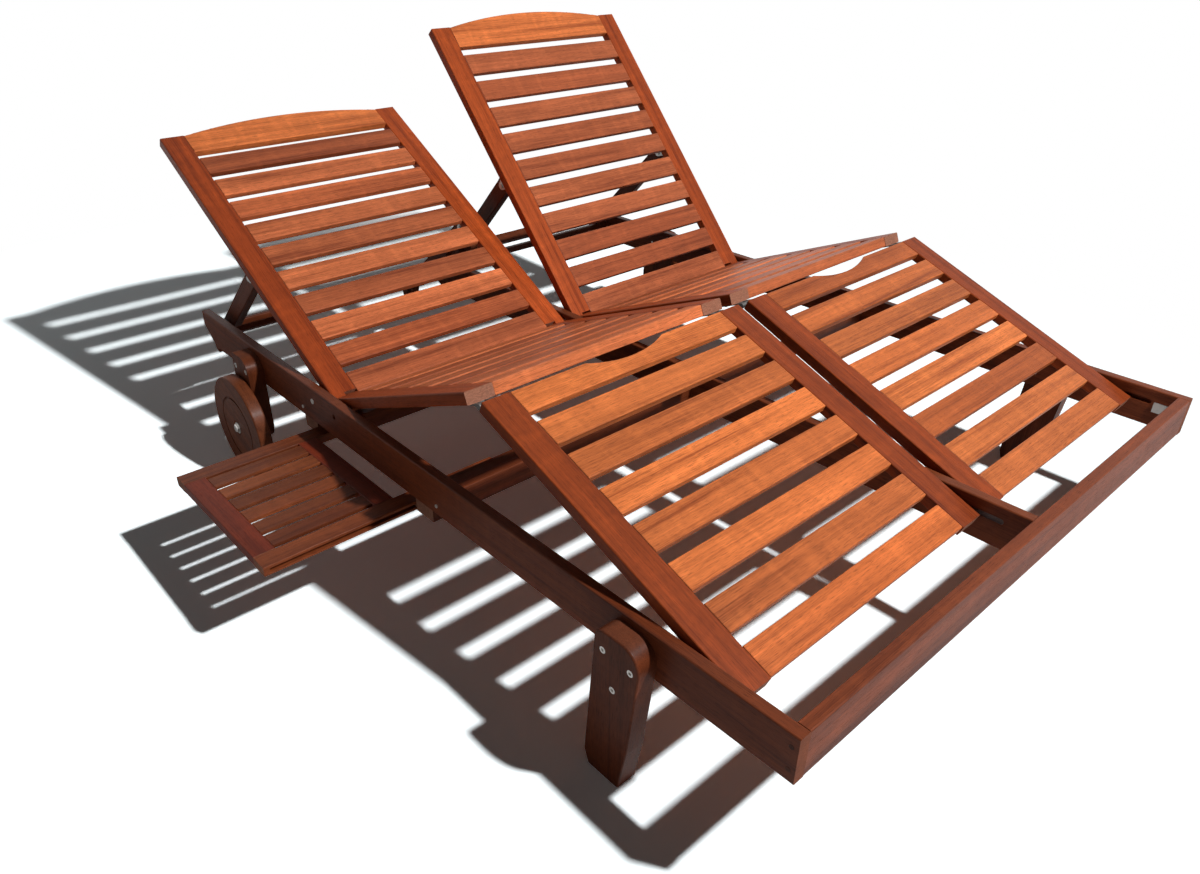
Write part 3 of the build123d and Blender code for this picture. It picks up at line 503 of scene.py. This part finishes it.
def grip_plank(x0, x1, near, far, top, thickness, length, depth):
    """A board whose far edge has a shallow round scallop for a hand."""
    outline, top, thickness = plank(x0, x1, near, far, top, thickness)
    middle = (x0 + x1) / 2
    radius = (length ** 2 / 4 + depth ** 2) / (2 * depth)
    half_turn = asin(length / 2 / radius)
    scallop = []
    for step in range(SCALLOP_STEPS + 1):
        turn = half_turn * (1 - 2 * step / SCALLOP_STEPS)
        scallop.append((middle + radius * sin(turn), far - depth + radius * (1 - cos(turn))))
    return outline[:3] + scallop + outline[3:], top, thickness


def plank_mesh(name, planks, softness, start=(0.0, 0.0, 0.0), lean=0.0):
    """Boards with their edges taken off, on a panel that leans about X through its start."""
    shape = bmesh.new()
    for outline, top, thickness in planks:
        low = [shape.verts.new((x, y, top - thickness)) for x, y in outline]
        high = [shape.verts.new((x, y, top)) for x, y in outline]
        shape.faces.new(list(reversed(low)))
        shape.faces.new(high)
        for number in range(len(outline)):
            after = (number + 1) % len(outline)
            shape.faces.new((low[number], low[after], high[after], high[number]))
    shape.normal_update()
    sharp = [edge for edge in shape.edges if edge.calc_face_angle(0.0) > SHARP]
    bmesh.ops.bevel(shape, geom=sharp, offset=softness, segments=2, profile=0.5, affect="EDGES")
    shape.transform(Matrix.Translation((0.0, start[1], start[2])) @ Matrix.Rotation(lean, 4, "X"))
    mesh = bpy.data.meshes.new(name)
    shape.to_mesh(mesh)
    shape.free()
    return mesh


def slat_planks(name, node, look):
    """The slats of a back, seat or leg rest, as wide as the frame's bay between the stiles."""
    low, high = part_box(node)
    first, pitch, count, top = SLAT_ROWS[name]
    planks = []
    for number in range(count):
        near = first + pitch * number
        planks.append(plank(low.x, high.x, near, near + look.slat_width, top, SLAT_THICKNESS))
    if name == "seat":
        planks.append(plank(low.x, high.x, *SEAT_FRONT, top, SEAT_FRONT_THICKNESS))
    if name == "leg":
        planks.append(grip_plank(low.x, high.x, *KNEE_PLANK, top, SLAT_THICKNESS,
                                 look.grip_length, look.grip_depth))
    return planks


class LOUNGER_OT_bed_wood(bpy.types.Operator):
    """Hardwood of the two beds, with the fibres along each board, boards that differ in tone, and
    painted light, shade and sheen that differ from panel to panel
    """
    bl_idname = "lounger.bed_wood"
    bl_label = "Bed wood"

    def execute(self, context):
        look = context.scene.lounger_wood
        for number, side in enumerate(SIDES):
            hinge = joint_place(side + "_back_hinge")
            knee = joint_place(side + "_knee_hinge")
            # Each panel's lean and start, its stiles' tone, which is painted light and shade by
            # how the panel faces the light, and the painted sheen in its slats
            panels = (
                ("back", BACK_LEAN[side], hinge, 1.12, 0.30),
                ("seat", SEAT_LEAN, hinge, 0.80, 0.25),
                ("leg", LEG_LEAN, knee, 0.66, 0.0),
            )
            for place, (name, lean, start, depth, painted_sheen) in enumerate(panels):
                seed = 2.31 + number * 5.0 + place * 11.0
                self.slats(look, side, name, lean, start, painted_sheen, seed)
                # The stiles' tone is painted light and shade: lighter on the back, darker on the
                # seat and darkest on the leg rest
                stile_wood = wood(
                    f"{side}_{name}_stile_wood", toned(look.stile_colour, depth), lean, start,
                    "Y", APART, spread=0.35, seed=seed + 3)
                dress(stile_wood, f"{side}_{name}_outer_stile", f"{side}_{name}_inner_stile")
            crest_wood = wood(
                side + "_crest_wood", toned(look.slat_colour, 1.65), BACK_LEAN[side], hinge,
                "X", spread=0.2, seed=number * 3.7 + 1.0)
            dress(crest_wood, side + "_back_crest")
            self.prop(look, side, number)
        return {"FINISHED"}

    def slats(self, look, side, name, lean, start, painted_sheen, seed):
        first, pitch = SLAT_ROWS[name][:2]
        step = (pitch, first - (pitch - look.slat_width) / 2)
        # The slats' colour carries a painted sheen of pale reflection, strongest on the back, less
        # on the seat and none on the leg rest
        finish = wood(f"{side}_{name}_slat_wood", with_painted_sheen(look.slat_colour, painted_sheen), lean, start, "X",
                      step, seed=seed)
        node = f"{side}_{name}_slats"
        title = f"{side}_{name}_boards"
        mesh = plank_mesh(title, slat_planks(name, node, look), look.softness, start, lean)
        boards = piece(title, mesh, side + BODIES[name], finish)
        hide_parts(node)

    def prop(self, look, side, number):
        start = joint_place(side + "_prop_hinge")
        arm_wood = wood(side + "_prop_wood", look.rail_colour, -PROP_LEAN[side], start, "Y", APART,
                        spread=0.2, seed=number + 21.0)
        dress(arm_wood, side + "_prop_outer_arm", side + "_prop_inner_arm")
        bar_wood = wood(side + "_prop_bar_wood", look.rail_colour, along="X", spread=0.2,
                        seed=number + 31.0)
        dress(bar_wood, side + "_prop_crossbar")


class LOUNGER_OT_tray_wood(bpy.types.Operator):
    """Hardwood of the slide-out side tray, and its thin open slats"""
    bl_idname = "lounger.tray_wood"
    bl_label = "Tray wood"

    def execute(self, context):
        look = context.scene.lounger_wood
        slats = wood("tray_slat_wood", look.tray_colour, along="X", step=TRAY_STEP, spread=0.5,
                     seed=4.4)
        dress(slats, "tray_front_board", "tray_rear_board")
        low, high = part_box("tray_slats")
        pitch = (high.y - low.y + TRAY_GAP) / TRAY_SLATS
        trim = (look.tray_gap - TRAY_GAP) / 2
        boards = []
        for number in range(TRAY_SLATS):
            front = low.y + number * pitch
            rear = front + pitch - TRAY_GAP
            boards.append(plank(low.x, high.x, front + trim, rear - trim, high.z,
                                look.tray_thickness))
        mesh = plank_mesh("tray_top_slats", boards, look.softness / 2)
        tray_slats = piece("tray_top_slats", mesh, "side_tray", slats)
        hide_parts("tray_slats")
        stiles = wood("tray_stile_wood", redder(toned(look.tray_colour, 0.85), 0.25), along="Y",
                      spread=0.3, seed=7.7)
        dress(stiles, "tray_outer_stile", "tray_inner_stile")
        return {"FINISHED"}


class LOUNGER_OT_wheels(bpy.types.Operator):
    """Turned hardwood wheels, each with a tone of its own"""
    bl_idname = "lounger.wheels"
    bl_label = "Wheels"

    def execute(self, context):
        look = context.scene.lounger_wood
        for number, side in enumerate(SIDES):
            hub = joint_place(f"wheel_{side}_spin")
            disc_wood = wood(f"wheel_wood_{side}", look.wheel_colour, WHEEL_LEAN, hub, "Y",
                             spread=0.3, seed=12.0 + number)
            dress(disc_wood, "wheel_" + side)
        return {"FINISHED"}


class LOUNGER_OT_steel_parts(bpy.types.Operator):
    """Plain steel on the bolts, hinges, plates and pins"""
    bl_idname = "lounger.steel_parts"
    bl_label = "Steel parts"

    def execute(self, context):
        look = context.scene.lounger_steel
        bright = steel("bolt_steel", look.colour, look.roughness)
        dress(bright, "leg_bolts", "rail_bolts", "wheel_bolts")
        dull = steel("plate_steel", toned(look.colour, 0.8), look.roughness + 0.1, 0.4)
        dress(dull, "corner_brackets", "pivot_plates", "left_prop_brackets", "right_prop_brackets")
        dark = steel("hinge_steel", toned(look.colour, 0.22), look.roughness + 0.2, 0.4)
        for side in SIDES:
            dress(dark, side + "_knee_upper_leaves", side + "_knee_lower_leaves",
                  side + "_foot_pins")
        return {"FINISHED"}


def plug_mesh(name, places, radius, height):
    """Round plugs with softened rims, each at a place with a direction to stand in."""
    shape = bmesh.new()
    profile = ((radius, -height * 2), (radius, height * 0.5), (radius - height * 0.6, height))
    turns = [2 * pi * step / PLUG_SIDES for step in range(PLUG_SIDES)]
    for place, direction in places:
        stand = Vector((0, 0, 1)).rotation_difference(Vector(direction)).to_matrix()
        rings = []
        for reach, level in profile:
            rings.append([
                shape.verts.new(
                    Vector(place) + stand @ Vector((reach * cos(turn), reach * sin(turn), level)))
                for turn in turns
            ])
        for low, high in zip(rings, rings[1:]):
            for step in range(PLUG_SIDES):
                after = (step + 1) % PLUG_SIDES
                shape.faces.new((low[step], low[after], high[after], high[step]))
        shape.faces.new(rings[-1])
        shape.faces.new(list(reversed(rings[0])))
    mesh = bpy.data.meshes.new(name)
    shape.to_mesh(mesh)
    shape.free()
    return mesh


class LOUNGER_OT_plugs(bpy.types.Operator):
    """Wood plugs over the screws at the foot rail's ends"""
    bl_idname = "lounger.plugs"
    bl_label = "Wood plugs"

    def execute(self, context):
        look = context.scene.lounger_steel
        colours = context.scene.lounger_wood
        low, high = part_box("foot_rail")
        level = (low.z + high.z) / 2
        middle = (low.y + high.y) / 2
        places = []
        for side, way in (("left", -1), ("right", 1)):
            rail_low, rail_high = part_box("side_rail_" + side)
            face = rail_low.x if way < 0 else rail_high.x
            for rise in PLUG_RISES:
                places.append(((face, middle, level + rise), (way, 0, 0)))
        mesh = plug_mesh("foot_plugs", places, look.plug_radius, look.plug_height)
        finish = wood("plug_wood", toned(colours.rail_colour, 0.6), along="Y", seed=40.0)
        piece("foot_plugs", mesh, "frame", finish)
        return {"FINISHED"}


class LOUNGER_OT_stage(bpy.types.Operator):
    """Pale floor, one soft key lamp, even fill and the camera at the photograph's angle"""
    bl_idname = "lounger.stage"
    bl_label = "Studio"

    def execute(self, context):
        look = context.scene.lounger_stage
        scene = context.scene
        scene.view_settings.view_transform = "Standard"
        self.floor(scene, look)
        self.lamps(scene, look)
        self.camera(scene, look)
        return {"FINISHED"}

    def floor(self, scene, look):
        mesh = bpy.data.meshes.new("studio_floor")
        corners = [(x * FLOOR_REACH, y * FLOOR_REACH, 0)
                   for x, y in ((-1, -1), (1, -1), (1, 1), (-1, 1))]
        mesh.from_pydata(corners, [], [(0, 1, 2, 3)])
        maker = Maker("floor_finish")
        place = maker.add("ShaderNodeTexCoord", {}, {}, output=3, kind="vector")
        rays = maker.tree.nodes.new("ShaderNodeLightPath")
        grain = maker.noise(place, 60.0, 2.0)
        colour = maker.mix(grain * 0.04, look.floor_colour, toned(look.floor_colour, 0.9))
        seen = Link(maker, rays.outputs["Is Camera Ray"])
        x, y, _ = maker.split(place)
        lamp = Vector(look.key_place)
        off_x = x - lamp.x
        off_y = y - lamp.y
        fall_off = (off_x * off_x + off_y * off_y + lamp.z ** 2) ** 1.5
        shown = fall_off * (look.floor_shown / lamp.length ** 3)
        colour = maker.mix(seen, colour, maker.vector(*(shown * tint for tint in FLOOR_TINT)))
        maker.shader.inputs["Specular IOR Level"].default_value = 0.1
        maker.shade(Base_Color=colour, Roughness=0.9)
        across = x - FADE_MIDDLE[0]
        along = y - FADE_MIDDLE[1]
        far = ((across * across + along * along) ** 0.5).clamped(*FADE_RADII)
        white = maker.tree.nodes.new("ShaderNodeEmission")
        white.inputs["Color"].default_value = (1, 1, 1, 1)
        fade = maker.tree.nodes.new("ShaderNodeMixShader")
        maker.tree.links.new((far * maker.looked_at()).socket, fade.inputs[0])
        maker.tree.links.new(maker.shader.outputs[0], fade.inputs[1])
        maker.tree.links.new(white.outputs[0], fade.inputs[2])
        surface = maker.tree.nodes["Material Output"].inputs["Surface"]
        maker.tree.links.new(fade.outputs[0], surface)
        mesh.materials.append(maker.material)
        floor = bpy.data.objects.new("studio_floor", mesh)
        scene.collection.objects.link(floor)

    def lamps(self, scene, look):
        world = bpy.data.worlds.new("studio_light")
        maker = Maker("studio_light", world)
        tree = maker.tree
        up = maker.split(maker.add("ShaderNodeTexCoord", {}, {}, kind="vector"))[2]
        even = tree.nodes["Background"]
        shade = maker.mix(up.clamped(0.0, 0.6), (1, 1, 1), (look.overhead,) * 3)
        tree.links.new(shade.socket, even.inputs["Color"])
        even.inputs["Strength"].default_value = look.fill
        white = tree.nodes.new("ShaderNodeBackground")
        white.inputs["Strength"].default_value = 1.0
        white.inputs["Color"].default_value = (1, 1, 1, 1)
        blend = tree.nodes.new("ShaderNodeMixShader")
        tree.links.new(maker.looked_at().socket, blend.inputs[0])
        tree.links.new(even.outputs[0], blend.inputs[1])
        tree.links.new(white.outputs[0], blend.inputs[2])
        tree.links.new(blend.outputs[0], tree.nodes["World Output"].inputs[0])
        scene.world = world
        data = bpy.data.lights.new("key_lamp", "AREA")
        data.shape = "DISK"
        data.size = look.key_size
        data.energy = look.key_power
        lamp = bpy.data.objects.new("key_lamp", data)
        lamp.location = look.key_place
        aim = LAMP_AIM - Vector(look.key_place)
        lamp.rotation_euler = aim.to_track_quat("-Z", "Y").to_euler()
        scene.collection.objects.link(lamp)

    def camera(self, scene, look):
        data = bpy.data.cameras.new("photo_camera")
        data.sensor_width = SENSOR_WIDTH
        data.lens = look.lens
        data.shift_x, data.shift_y = look.camera_shift
        data.clip_end = VIEW_END
        camera = bpy.data.objects.new("photo_camera", data)
        turn = (Matrix.Rotation(-look.camera_heading, 4, "Z")
                @ Matrix.Rotation(pi / 2 - look.camera_pitch, 4, "X")
                @ Matrix.Rotation(look.camera_roll, 4, "Z"))
        camera.matrix_world = Matrix.Translation(look.camera_place) @ turn
        scene.collection.objects.link(camera)
        scene.camera = camera


OPERATORS = (
    LOUNGER_OT_frame_wood,
    LOUNGER_OT_bed_wood,
    LOUNGER_OT_tray_wood,
    LOUNGER_OT_wheels,
    LOUNGER_OT_steel_parts,
    LOUNGER_OT_plugs,
    LOUNGER_OT_stage,
)


class LOUNGER_PT_panel(bpy.types.Panel):
    bl_label = "Double chaise lounger"
    bl_idname = "LOUNGER_PT_panel"
    bl_space_type = "VIEW_3D"
    bl_region_type = "UI"
    bl_category = "Lounger"

    def draw(self, context):
        layout = self.layout
        for name, group in GROUPS:
            box = layout.box()
            settings = getattr(context.scene, name)
            for key in group.__annotations__:
                box.prop(settings, key)
        for operator in OPERATORS:
            layout.operator(operator.bl_idname)


def register():
    for name, group in GROUPS:
        bpy.utils.register_class(group)
        setattr(bpy.types.Scene, name, bpy.props.PointerProperty(type=group))
    for operator in OPERATORS:
        bpy.utils.register_class(operator)
    bpy.utils.register_class(LOUNGER_PT_panel)


def unregister():
    bpy.utils.unregister_class(LOUNGER_PT_panel)
    for operator in reversed(OPERATORS):
        bpy.utils.unregister_class(operator)
    for name, group in reversed(GROUPS):
        delattr(bpy.types.Scene, name)
        bpy.utils.unregister_class(group)


def main():
    register()
    bpy.ops.lounger.frame_wood()
    bpy.ops.lounger.bed_wood()
    bpy.ops.lounger.tray_wood()
    bpy.ops.lounger.wheels()
    bpy.ops.lounger.steel_parts()
    bpy.ops.lounger.plugs()
    bpy.ops.lounger.stage()


if __name__ == "__main__":
    main()
